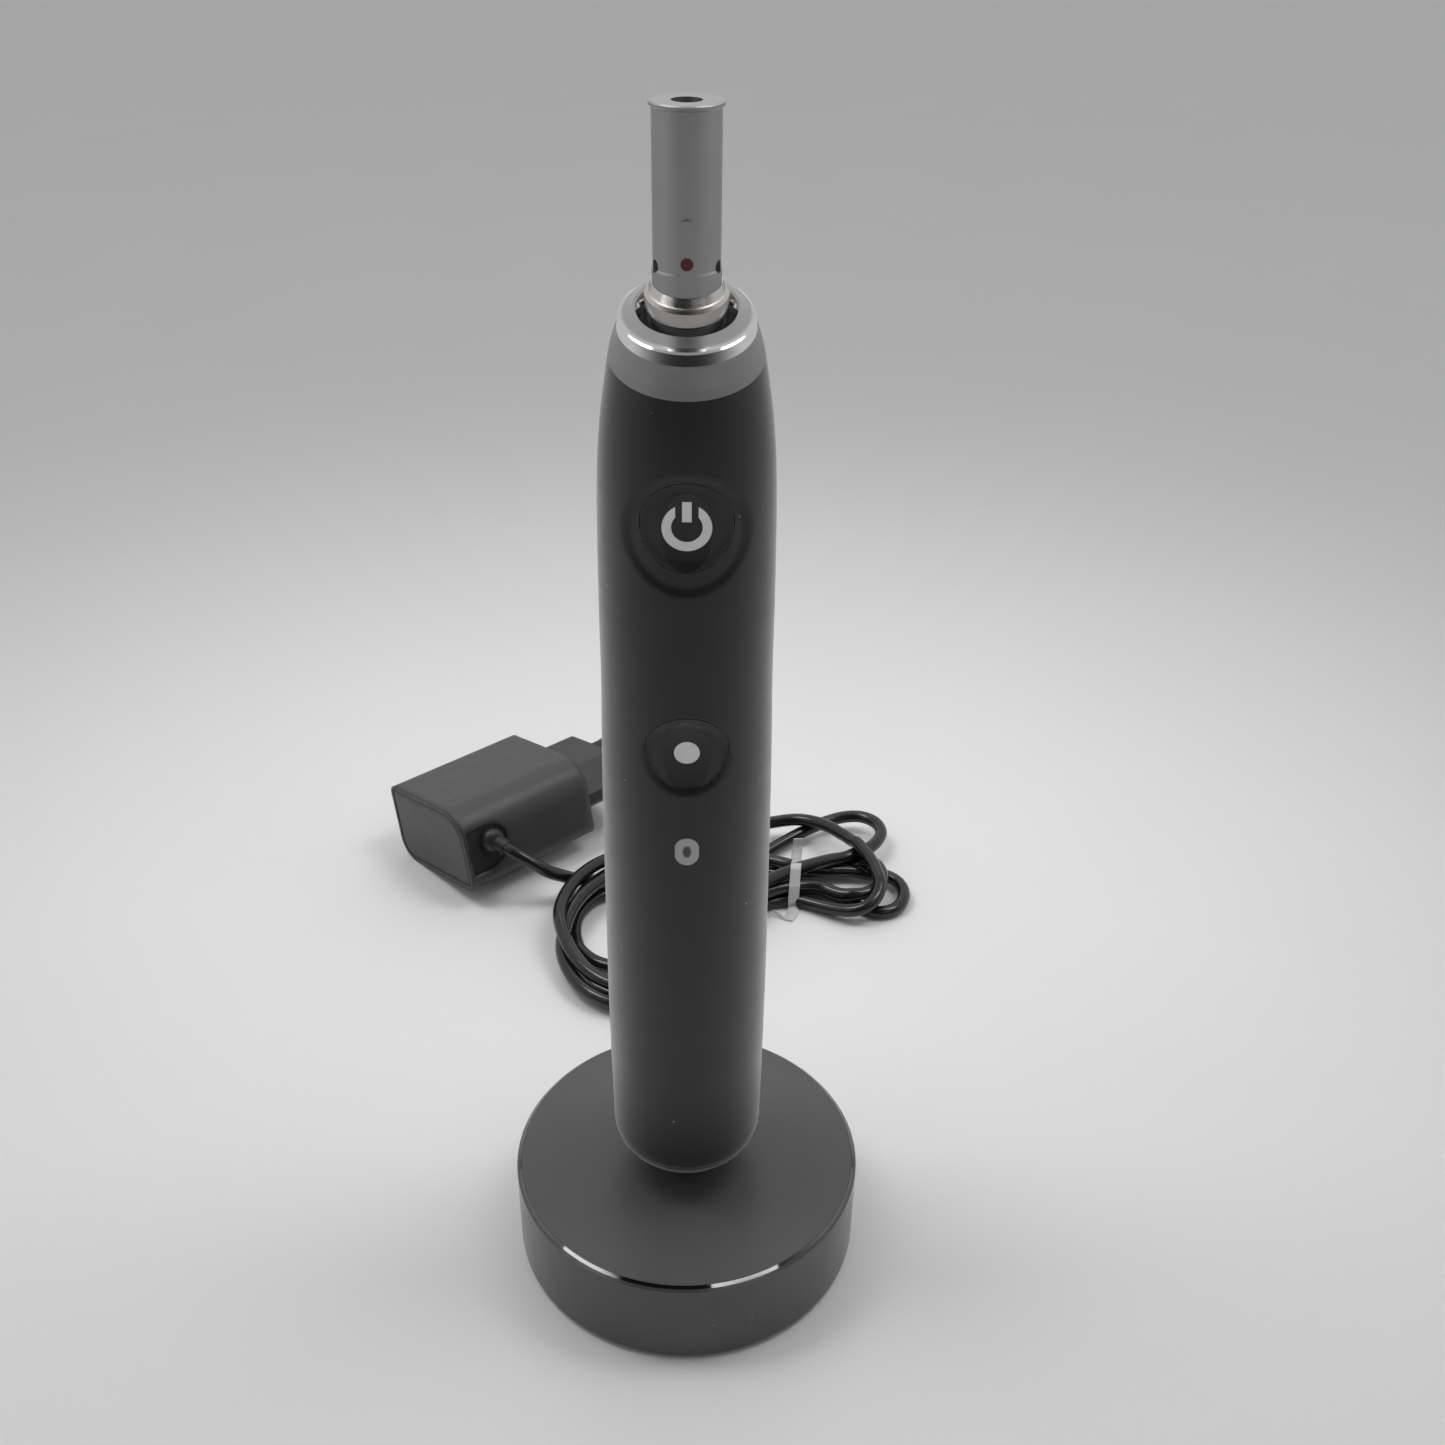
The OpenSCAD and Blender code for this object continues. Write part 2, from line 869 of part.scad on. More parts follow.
// Silicone pad behind both buttons, with a hole for each stem
module button_pad() {
    color([0.30, 0.30, 0.32])
        on_charger()
            difference() {
                intersection() {
                    sleeve(11.5, 10.9, mode_h - 9, power_h + 5);
                    translate([-7.5, -chassis_r, 0])
                        cube([15, chassis_r - 6, 200]);
                }
                front_cylinder(stem_r + 0.3, power_h, 5, grip_r);
                front_cylinder(stem_r + 0.3, mode_h, 5, grip_r);
            }
}

module indicator_lens() {
    lens_back = grip_r + 0.1 - pocket_depth;
    color([0.85, 0.85, 0.86])
        on_charger()
            intersection() {
                grip_filled(40, 120);
                lens_shape(-0.03, lens_back, grip_r + 2);
            }
}

// Children with their level planes turned to rise towards the back
module slanted() {
    $fn = neck_fn;
    multmatrix([[1, 0, 0, 0], [0, 1, 0, 0], [0, neck_slope, 1, 0], [0, 0, 0, 1]])
        children();
}

// Children slanted and also leaning, so that they stand forward at the grip and central at the collar
module skewed() {
    $fn = neck_fn;
    lean = ring_lean / ring_h;
    multmatrix([[1, 0, 0, 0], [0, 1, lean, -lean * ring_top], [0, neck_slope, 1, 0], [0, 0, 0, 1]])
        children();
}

module light_ring() {
    color([0.62, 0.63, 0.65])
        on_charger()
            skewed()
                rotate_extrude()
                    polygon([
                        [ring_r, ring_low], [ring_r - 0.3, ring_low + 0.33 * ring_h],
                        [ring_r - 0.72, ring_low + 0.66 * ring_h], [ring_r - 1.02, ring_low + 0.86 * ring_h],
                        [collar_r, ring_top], [spigot_in_r, ring_top], [spigot_in_r, ring_low - spigot_len],
                        [spigot_r, ring_low - spigot_len], [spigot_r, ring_low]
                    ]);
}

module ring_leds() {
    color([0.92, 0.92, 0.86])
        on_charger()
            skewed() {
                sleeve(spigot_r, spigot_in_r - 1.15, ring_low - spigot_len - 1.2, ring_low - spigot_len - 0.4);
                for (a = [0 : 60 : 300])
                    rotate([0, 0, a + 30])
                        translate([spigot_in_r - 1, -0.8, ring_low - spigot_len - 0.4])
                            cube([0.85, 1.6, 0.6]);
            }
}

module neck_collar() {
    color([0.80, 0.80, 0.82])
        on_charger()
            slanted()
                rotate_extrude()
                    polygon([
                        [collar_r, ring_top], [collar_r - 0.2, ring_top + 1.55], [collar_r - 0.34, ring_top + 1.85],
                        [collar_r - 0.62, ring_top + 2.05], [collar_bore_r + 0.35, collar_top],
                        [collar_bore_r, collar_top - 0.25], [collar_bore_r, ring_top - 1.6],
                        [collar_spigot_r, ring_top - 1.6], [collar_spigot_r, ring_top]
                    ]);
}

// Rubber bellows between the collar and the shaft
module neck_seal() {
    low = ring_top - 1.4;
    color([0.06, 0.06, 0.06])
        on_charger()
            slanted()
                rotate_extrude()
                    polygon([
                        [neck_r + 0.1, low + 2.4], [neck_r + 0.1, low + 1], [neck_r + 0.8, low + 0.9],
                        [neck_r + 1.3, low + 1.9], [neck_r + 1.7, low], [collar_bore_r - 0.02, low],
                        [collar_bore_r - 0.02, low + 1.2], [neck_r + 2.05, low + 1.2], [neck_r + 1.35, low + 2.9],
                        [neck_r + 0.65, low + 2.4]
                    ]);
}

module pivot_pin() {
    color([0.75, 0.75, 0.77])
        on_charger()
            translate([-8.6, 0, pivot_h])
                rotate([0, 90, 0])
                    cylinder(r = pivot_r, h = 17.2);
}

// Leaf spring that pushes the drive unit back upright
module pressure_spring() {
    color([0.75, 0.75, 0.77])
        on_charger()
            translate([-2, 8.2, pivot_h + 6])
                rotate([1.5, 0, 0])
                    cube([4, 0.4, 34]);
}

// ---------------------------------------------------------------- drive unit

module motor_case() {
    color([0.55, 0.56, 0.58])
        on_charger()
            difference() {
                union() {
                    translate([0, 0, case_low])
                        cylinder(r = case_r, h = case_top - case_low);
                    translate([-4, -4, pivot_h - 3])
                        cube([8, 8, case_low - pivot_h + 4]);
                }
                translate([0, 0, case_low + 2])
                    cylinder(r = case_r - case_wall, h = case_top);
                translate([-chassis_r, 0, pivot_h])
                    rotate([0, 90, 0])
                        cylinder(r = pivot_r + running_gap, h = 2 * chassis_r);
                translate([0, 0, case_low + 1])
                    cylinder(r = bush_r + fit_gap, h = 2);
            }
}

module stator_coil() {
    color([0.72, 0.36, 0.16])
        on_charger()
            sleeve(case_r - case_wall - 0.1, coil_in_r, coil_low, coil_high);
}

module stator_rings() {
    color([0.5, 0.5, 0.52])
        on_charger() {
            sleeve(case_r - case_wall, coil_in_r - 0.1, coil_low - 2, coil_low - 0.2);
            sleeve(case_r - case_wall, coil_in_r - 0.1, coil_high + 0.2, coil_high + 2);
        }
}

module rod_bushes() {
    color([0.70, 0.55, 0.30])
        on_charger() {
            sleeve(bush_r, rod_r + running_gap, case_low + 1, case_low + 4.5);
            sleeve(bush_r, rod_r + running_gap, case_top - 1.5, case_top + 2);
        }
}

// The fixed hollow post that the brush head pushes on to
module shaft_tube() {
    color([0.52, 0.53, 0.54])
        on_charger()
            difference() {
                union() {
                    rotate_extrude()
                        polygon(concat(
                            [[rod_bore_r, case_top], [tube_flange_r, case_top], [tube_flange_r, case_top + 3]],
                            [[neck_r, case_top + 3], [neck_r, tube_foot], [tube_r, tube_foot + 0.3]],
                            [[tube_r, tip_h - lip_h - 0.35], [lip_r, tip_h - lip_h], [lip_r, tip_h - 0.15]],
                            [[lip_r - 0.15, tip_h], [bore_r, tip_h], [bore_r, mouth_h], [rod_bore_r, mouth_h]]
                        ));
                    intersection() {
                        sleeve(tube_r + rib_out, tube_r - 0.5, rib_low, rib_top);
                        union() {
                            translate([-rib_w / 2, -tube_r - 1, rib_low])
                                cube([rib_w, 3, rib_top - rib_low - rib_w / 2]);
                            front_cylinder(rib_w / 2, rib_top - rib_w / 2, tube_r - 2, tube_r + 1);
                        }
                    }
                }
                for (side = [-1, 1])
                    rotate([0, 0, side * notch_turn])
                        front_cylinder(notch_r, notch_h, tube_r - 1.2, tube_r + 1);
                front_cylinder(mark_r, dot_h, tube_r - 0.3, tube_r + 1);
                translate([0, 0, case_top - 1])
                    cylinder(r = bush_r + fit_gap, h = 3 + fit_gap);
            }
}

module locating_ring() {
    color([0.66, 0.62, 0.58])
        on_charger()
            slanted()
                rotate_extrude()
                    polygon([
                        [neck_r + 0.02, nickel_low - 0.4], [nickel_r - 0.4, nickel_low - 0.4], [nickel_r, nickel_low],
                        [nickel_r, nickel_high - 0.5], [nickel_r - 0.3, nickel_high],
                        [neck_r + 0.5, nickel_high + 0.1], [neck_r + 0.12, nickel_high + 1.2],
                        [neck_r + 0.02, nickel_high + 1.2]
                    ]);
}

module align_dot() {
    color([0.45, 0.12, 0.10])
        on_charger()
            front_cylinder(mark_r - 0.02, dot_h, tube_r - 0.3, tube_r + rib_out + 0.05);
}

// The centre line of a compression spring
function spring_route(low, high) = [
    for (i = [0 : spring_turns * spring_steps])
        let (a = 360 * i / spring_steps)
        [spring_r * cos(a), spring_r * sin(a), mix(low, high, i / (spring_turns * spring_steps))]
];

module return_springs() {
    color([0.75, 0.75, 0.77])
        on_charger() {
            tube_along(spring_route(coil_high + 2.5, case_top - 2), spring_wire_r, spring_sides);
            tube_along(spring_route(case_low + 5, coil_low - 1.4), spring_wire_r, spring_sides);
        }
}

// ---------------------------------------------------------------- moving rod

module drive_rod() {
    color([0.72, 0.72, 0.74])
        on_charger()
            translate([0, 0, rod_low])
                cylinder(r = rod_r, h = rod_top - rod_low);
}

module rod_tip() {
    color([0.42, 0.28, 0.22])
        on_charger()
            translate([0, 0, rod_top])
                cylinder(r = rod_tip_r, h = tip_top - rod_top);
}

module rod_magnets() {
    mid = (coil_low + coil_high) / 2;
    color([0.68, 0.68, 0.70])
        on_charger() {
            sleeve(magnet_r, rod_r, coil_low + 1, mid - 0.5);
            sleeve(magnet_r, rod_r, mid + 0.5, coil_high - 1);
        }
}

// ---------------------------------------------------------------- buttons

// A button's cap: the grip's own outside, with a hollow face
module button_cap(r, height) {
    face_r = lookup(height, [for (p = grip_line) [p[1], p[0]]]);
    difference() {
        intersection() {
            grip_filled(70, 150);
            front_cylinder(r, height, 6, grip_r + 2);
        }
        sleeve_inside(height);
        translate([0, -(face_r - dish_depth + dish_r), height])
            sphere(r = dish_r, $fn = 200);
    }
}

// The round space behind the button caps
module sleeve_inside(height) {
    translate([0, 0, height - 12])
        cylinder(r = button_back_r, h = 24);
}

module stem(height) {
    front_cylinder(stem_r, height, stem_end, button_back_r + stem_sink);
}

module power_icon_shape(near, far) {
    difference() {
        front_cylinder(icon_ring_r + icon_stroke / 2, power_h, near, far);
        front_cylinder(icon_ring_r - icon_stroke / 2, power_h, near - 1, far + 1);
        translate([-icon_gap_w / 2, -far - 1, power_h])
            cube([icon_gap_w, far - near + 2, 10]);
    }
    translate([-icon_stroke / 2, -far, power_h + icon_bar_low])
        cube([icon_stroke, far - near, icon_bar_len]);
}

module power_button() {
    face_y = grip_r - 0.55 - dish_depth - icon_depth;
    color([0.05, 0.05, 0.055])
        on_charger()
            union() {
                difference() {
                    button_cap(power_r, power_h);
                    power_icon_shape(face_y, grip_r + 2);
                }
                stem(power_h);
            }
}

module power_icon() {
    face_y = grip_r - 0.55 - dish_depth - icon_depth;
    color([0.80, 0.81, 0.82])
        on_charger()
            intersection() {
                button_cap(power_r, power_h);
                power_icon_shape(face_y, grip_r + 2);
            }
}

module mode_button() {
    face_y = grip_r - 0.1 - dish_depth - icon_depth;
    color([0.05, 0.05, 0.055])
        on_charger()
            union() {
                difference() {
                    button_cap(mode_r, mode_h);
                    front_cylinder(dot_r, mode_h, face_y, grip_r + 2);
                }
                stem(mode_h);
            }
}

module mode_dot() {
    face_y = grip_r - 0.1 - dish_depth - icon_depth;
    color([0.92, 0.92, 0.93])
        on_charger()
            intersection() {
                button_cap(mode_r, mode_h);
                front_cylinder(dot_r, mode_h, face_y, grip_r + 2);
            }
}

charger_ring();
charger_top();
charger_base();
charger_feet();
charger_screws();
primary_coil();
coil_core();
dock_magnet();
charger_board();
charger_parts();
cord_boot();
cord_charger_lead();
cord_hank();
cord_plug_lead();
twist_tie();
plug_body();
plug_nose();
plug_cover();
plug_cord_entry();
plug_pins();
pin_sleeves();
plug_board();
plug_transformer();
plug_capacitors();
handle_shell();
bottom_cap();
foot_seal();
keeper_plate();
receive_coil();
chassis();
battery();
battery_tabs();
circuit_board();
tact_switches();
status_led();
button_pad();
indicator_lens();
light_ring();
ring_leds();
neck_collar();
neck_seal();
pivot_pin();
pressure_spring();
motor_case();
stator_coil();
stator_rings();
rod_bushes();
shaft_tube();
locating_ring();
align_dot();
return_springs();
drive_rod();
rod_tip();
rod_magnets();
power_button();
power_icon();
mode_button();
mode_dot();
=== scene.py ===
"""Looks for the electric toothbrush that stands on its charger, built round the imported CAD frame."""

import json
import math

import bmesh
import bpy
import numpy as np
from mathutils import Matrix, Quaternion, Vector


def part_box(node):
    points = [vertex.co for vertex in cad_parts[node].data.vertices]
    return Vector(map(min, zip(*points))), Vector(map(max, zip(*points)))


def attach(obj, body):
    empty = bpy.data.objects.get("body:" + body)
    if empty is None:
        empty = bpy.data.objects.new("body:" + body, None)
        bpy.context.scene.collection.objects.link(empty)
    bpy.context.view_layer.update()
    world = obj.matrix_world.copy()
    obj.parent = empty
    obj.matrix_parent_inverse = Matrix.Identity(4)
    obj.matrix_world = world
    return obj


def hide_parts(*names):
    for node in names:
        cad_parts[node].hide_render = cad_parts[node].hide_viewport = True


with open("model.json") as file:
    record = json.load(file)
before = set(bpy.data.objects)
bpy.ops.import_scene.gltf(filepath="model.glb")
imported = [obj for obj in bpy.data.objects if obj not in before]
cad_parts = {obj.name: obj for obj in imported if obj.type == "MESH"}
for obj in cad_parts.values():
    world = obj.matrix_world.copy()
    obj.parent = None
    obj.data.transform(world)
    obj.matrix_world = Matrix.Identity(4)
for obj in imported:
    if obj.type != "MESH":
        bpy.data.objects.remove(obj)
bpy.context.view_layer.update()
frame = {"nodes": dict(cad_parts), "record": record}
scene = bpy.context.scene
scene.view_settings.view_transform = "Standard"
MM = 0.001


def middle_z(node):
    """The height of the middle of a CAD node."""
    low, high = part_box(node)
    return (low.z + high.z) / 2


POWER_Z = middle_z("power_icon")
MODE_Z = middle_z("mode_dot")
# The neck's rings rise towards the back by this much per unit of depth
NECK_SLOPE = 0.27
# Where the collar's satin top begins, from its sloping top face
COLLAR_CREST = -0.1 * MM
# The collar's side is shaded as if it drew in by this much per unit of height
COLLAR_CHAMFER = 0.65
# Hollows round the buttons: height of the centre, outer and inner radius, depth
HOLLOWS = (
    (POWER_Z - 1.6 * MM, 10.2 * MM, 7.6 * MM, 0.6 * MM),
    (POWER_Z, 7.2 * MM, 5.2 * MM, 0.2 * MM),
    (MODE_Z - 0.6 * MM, 7.8 * MM, 5.2 * MM, 0.6 * MM),
)
# The grain of turned metal, which runs round the vertical axis, and of metal drawn along it
ROUND_Z = (0.05, 0.05, 1)
ALONG_Z = (1, 1, 0.05)

# ---------------------------------------------------------------- camera

CAMERA_AT = (0.0, -0.2195, 0.2559)
PITCH_DOWN = math.radians(31.68)
TURN_RIGHT = math.radians(1.547)
ROLL = math.radians(0.807)
LENS_MM = 38.62
SENSOR_MM = 36.0


def add_camera():
    """A camera that looks down at the brush from the front, a little to the right."""
    ahead = Vector((
        math.sin(TURN_RIGHT) * math.cos(PITCH_DOWN),
        math.cos(TURN_RIGHT) * math.cos(PITCH_DOWN),
        -math.sin(PITCH_DOWN),
    ))
    right = Vector((math.cos(TURN_RIGHT), -math.sin(TURN_RIGHT), 0.0))
    up = right.cross(ahead)
    rolled_right = right * math.cos(ROLL) + up * math.sin(ROLL)
    rolled_up = up * math.cos(ROLL) - right * math.sin(ROLL)
    data = bpy.data.cameras.new("camera")
    data.sensor_width = SENSOR_MM
    data.lens = LENS_MM
    data.clip_start = 0.01
    camera = bpy.data.objects.new("camera", data)
    turn = Matrix((rolled_right, rolled_up, -ahead)).transposed()
    camera.matrix_world = Matrix.Translation(CAMERA_AT) @ turn.to_4x4()
    scene.collection.objects.link(camera)
    scene.camera = camera


add_camera()

# ---------------------------------------------------------------- materials


class Nodes:
    """A material's node tree with a Principled shader, and short calls that add what it needs."""

    def __init__(self, name):
        self.material = bpy.data.materials.new(name)
        self.material.use_nodes = True
        self.tree = self.material.node_tree
        self.shader = self.tree.nodes["Principled BSDF"]
        self.place = self.tree.nodes.new("ShaderNodeTexCoord").outputs["Object"]

    def link(self, value, socket):
        """Links value to the socket if it is another socket, or else writes it there."""
        if isinstance(value, bpy.types.NodeSocket):
            self.tree.links.new(value, socket)
        else:
            socket.default_value = value

    def add(self, kind, inputs=(), **settings):
        """A new node with its settings and inputs. Inputs are (name or number, value) pairs."""
        node = self.tree.nodes.new(kind)
        for key, value in settings.items():
            setattr(node, key, value)
        for key, value in inputs:
            self.link(value, node.inputs[key])
        return node

    def noise(self, size, detail=3.0, rough=0.55, stretch=(1, 1, 1)):
        """Noise from 0 to 1 with patches about size metres across."""
        place = self.place
        if stretch != (1, 1, 1):
            place = self.add("ShaderNodeMapping", [("Vector", place), ("Scale", stretch)]).outputs[0]
        inputs = [("Vector", place), ("Scale", 1 / size), ("Detail", detail), ("Roughness", rough)]
        return self.add("ShaderNodeTexNoise", inputs).outputs["Fac"]

    def spots(self, size, share):
        """1 on a few round spots of about size metres, and 0 between them."""
        cells = self.add("ShaderNodeTexVoronoi", [("Vector", self.place), ("Scale", 0.2 / size)])
        near = self.remap(cells.outputs["Distance"], 0.05, 0.10, 1, 0)
        pick = self.add("ShaderNodeSeparateColor", [("Color", cells.outputs["Color"])]).outputs[0]
        return self.math("MULTIPLY", near, self.math("LESS_THAN", pick, share))

    def math(self, what, a, b=0.0):
        return self.add("ShaderNodeMath", [(0, a), (1, b)], operation=what).outputs[0]

    def remap(self, value, from_low, from_high, to_low, to_high):
        inputs = [(0, value), (1, from_low), (2, from_high), (3, to_low), (4, to_high)]
        return self.add("ShaderNodeMapRange", inputs).outputs[0]

    def mix(self, share, a, b):
        """A colour between a and b."""
        return self.add("ShaderNodeMix", [(0, share), (6, a), (7, b)], data_type="RGBA").outputs[2]

    def blend(self, share, a, b):
        """A number between a and b."""
        return self.add("ShaderNodeMix", [(0, share), (2, a), (3, b)]).outputs[0]

    def vector(self, what, a, b=(0, 0, 0)):
        return self.add("ShaderNodeVectorMath", [(0, a), (1, b)], operation=what).outputs

    def distance(self, centre, scale):
        """How far a point is from the centre, with each axis scaled first."""
        away = self.vector("SUBTRACT", self.place, centre)[0]
        flat = self.vector("MULTIPLY", away, scale)[0]
        return self.vector("LENGTH", flat)["Value"]

    def axes(self):
        """The point's own X, Y and Z."""
        return self.add("ShaderNodeSeparateXYZ", [(0, self.place)]).outputs

    def base(self):
        """The socket that feeds the shader's base colour."""
        return self.shader.inputs["Base Color"].links[0].from_socket

    def set(self, name, value):
        self.link(value, self.shader.inputs[name])

    def bump(self, height, strength, depth):
        """Adds a bump of that depth in metres to the shader's normal, on top of what is there."""
        inputs = [("Height", height), ("Strength", strength), ("Distance", depth)]
        normal = self.shader.inputs["Normal"]
        if normal.links:
            inputs.append(("Normal", normal.links[0].from_socket))
        self.link(self.add("ShaderNodeBump", inputs).outputs[0], normal)


def grey(value, warm=0.0):
    """A colour of that lightness, 0 to 1, warmer or cooler by a small share."""
    return (value * (1 + warm), value, value * (1 - warm), 1.0)


def shade(colour, times):
    return (colour[0] * times, colour[1] * times, colour[2] * times, 1.0)


def moulded(name, colour, rough, grain=0.25 * MM, depth=0.01 * MM, vary=0.12):
    """Moulded plastic or rubber: a fine grain, slow changes of tone, and uneven gloss."""
    n = Nodes(name)
    slow = n.noise(9 * MM, 4)
    n.set("Base Color", n.mix(slow, shade(colour, 1 - vary), shade(colour, 1 + vary)))
    fine = n.noise(grain, 2)
    n.set("Roughness", n.remap(n.noise(3 * MM, 5), 0.3, 0.7, rough * 0.9, min(rough * 1.1, 1)))
    n.bump(fine, 0.5, depth)
    return n


def metal(name, colour, rough, stretch=(1, 1, 1), depth=0.004 * MM):
    """Metal with a fine brushed or drawn grain. A small number in stretch draws it out along that axis."""
    n = Nodes(name)
    lines = n.noise(0.3 * MM, 4, 0.7, stretch)
    n.set("Base Color", n.mix(lines, shade(colour, 0.88), shade(colour, 1.06)))
    n.set("Metallic", 1.0)
    n.set("Roughness", n.remap(lines, 0.3, 0.7, rough * 0.75, rough * 1.25))
    n.bump(lines, 0.4, depth)
    return n


def bowl(n, height, outer, inner, depth):
    """A round hollow in the handle's front, as a height that falls from the outer radius to the inner."""
    far = n.distance((0, 0, height), (1, 0, 1))
    inputs = [(0, far), (1, inner), (2, outer), (3, -depth), (4, 0.0)]
    fall = n.add("ShaderNodeMapRange", inputs, interpolation_type="SMOOTHERSTEP").outputs[0]
    return n.math("MULTIPLY", fall, n.math("LESS_THAN", n.axes()["Y"], 0.0))


def soft_coat(name, tone):
    """The soft coating of the grip and buttons, with a hollow round each button."""
    n = moulded(name, grey(tone), 0.4, 0.18 * MM, 0.008 * MM, 0.15)
    n.set("Roughness", n.remap(n.noise(5 * MM, 5, 0.6), 0.3, 0.7, 0.36, 0.44))
    n.set("Sheen Weight", 0.7)
    n.set("Sheen Roughness", 0.38)
    power_dish, power_step, mode_dish = [bowl(n, *hollow) for hollow in HOLLOWS]
    n.bump(n.math("ADD", n.math("ADD", power_dish, power_step), mode_dish), 1.0, 1.0)
    return n


def soft_touch():
    """The grip's coating with a few pale specks of dust."""
    n = soft_coat("soft_black", 0.007)
    specks = n.spots(0.5 * MM, 0.05)
    n.set("Base Color", n.mix(specks, n.base(), grey(0.3)))
    return n


def charger_top_coat():
    n = moulded("charger_matte", grey(0.072), 0.42, 0.12 * MM, 0.010 * MM, 0.08)
    n.set("Specular IOR Level", 0.5)
    haze = n.noise(25 * MM, 3)
    n.set("Roughness", n.remap(haze, 0.3, 0.7, 0.38, 0.46))
    return n


def charger_gloss_coat():
    """The charger's glossy side, which is polished metal at the bevel round the top."""
    n = moulded("charger_gloss", grey(0.064), 0.12, 1.5 * MM, 0.004 * MM, 0.10)
    smear = n.noise(6 * MM, 6, 0.65, (1, 1, 0.35))
    rim_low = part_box("charger_ring")[1].z - 0.5 * MM
    bevel = n.remap(n.axes()["Z"], rim_low - 0.05 * MM, rim_low + 0.05 * MM, 0, 1)
    n.set("Base Color", n.mix(bevel, n.base(), grey(0.14)))
    n.set("Metallic", bevel)
    n.set("Roughness", n.blend(bevel, n.remap(smear, 0.35, 0.75, 0.16, 0.3), 0.07))
    return n


def cord_vinyl():
    """Smooth black vinyl with a faint drawn grain and handling marks."""
    n = moulded("cord_vinyl", grey(0.010), 0.26, 0.5 * MM, 0.008 * MM, 0.2)
    n.set("Roughness", n.remap(n.noise(2.2 * MM, 5, 0.7), 0.3, 0.7, 0.13, 0.24))
    return n


def plug_plastic():
    """The plug's satin plastic, shaded as smooth where its rounded edges are made of flats."""
    n = moulded("plug_plastic", grey(0.045), 0.42, 0.3 * MM, 0.014 * MM, 0.08)
    round_off = n.add("ShaderNodeBevel", [("Radius", 2.5 * MM)])
    round_off.samples = 8
    grain = n.shader.inputs["Normal"].links[0].from_node
    n.link(round_off.outputs[0], grain.inputs["Normal"])
    return n


def tie_clear():
    n = moulded("tie_clear", grey(0.86, -0.01), 0.22, 0.6 * MM, 0.03 * MM, 0.04)
    n.set("Transmission Weight", 0.55)
    n.set("IOR", 1.46)
    return n


def frosted_ring():
    n = moulded("ring_satin", grey(0.22), 0.38, 0.2 * MM, 0.006 * MM, 0.05)
    n.set("Coat Weight", 0.25)
    n.set("Coat Roughness", 0.3)
    return n


def lens_pale():
    """The pale indicator, with one plain darker dot in its middle."""
    n = moulded("lens_pale", grey(0.52), 0.3, 0.3 * MM, 0.006 * MM, 0.05)
    low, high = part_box("indicator_lens")
    middle = (low + high) / 2
    far = n.distance((middle.x, low.y, middle.z), (1, 0, 0.6))
    ring = n.remap(far, 0.55 * MM, 0.85 * MM, 0, 1)
    n.set("Base Color", n.mix(ring, grey(0.07), n.base()))
    return n


def battery_wrap():
    n = moulded("battery_wrap", (0.03, 0.12, 0.32, 1), 0.3, 0.8 * MM, 0.01 * MM, 0.1)
    n.set("Coat Weight", 0.4)
    return n


def board_green():
    """Solder mask with scattered pale pads."""
    n = moulded("board_green", (0.01, 0.09, 0.035, 1), 0.35, 0.3 * MM, 0.006 * MM, 0.15)
    pads = n.spots(0.9 * MM, 0.3)
    n.set("Base Color", n.mix(pads, n.base(), (0.55, 0.45, 0.22, 1)))
    return n


def copper_wire():
    """Windings: fine ridges that run round the coil."""
    n = metal("copper", (0.72, 0.30, 0.12, 1), 0.32)
    wave = n.add(
        "ShaderNodeTexWave",
        [("Vector", n.place), ("Scale", 260.0), ("Distortion", 0.4)],
        bands_direction="Z",
    ).outputs["Fac"]
    n.bump(wave, 0.8, 0.08 * MM)
    return n


def collar_metal():
    """The collar: a mirror band and a satin top, which both rise towards the back."""
    n = metal("collar_chrome", grey(0.62), 0.05, ROUND_Z, 0.0005 * MM)
    axes = n.axes()
    level = n.math("SUBTRACT", axes["Z"], n.math("MULTIPLY", axes["Y"], NECK_SLOPE))
    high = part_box("neck_collar")[1]
    crest = high.z - NECK_SLOPE * high.y + COLLAR_CREST
    top = n.remap(level, crest - 0.1 * MM, crest + 0.1 * MM, 0, 1)
    n.set("Roughness", n.blend(top, 0.05, 0.3))
    n.set("Base Color", n.mix(top, n.base(), grey(0.3)))
    n.bump(n.math("MULTIPLY", level, -COLLAR_CHAMFER), 1.0, 1.0)
    return n


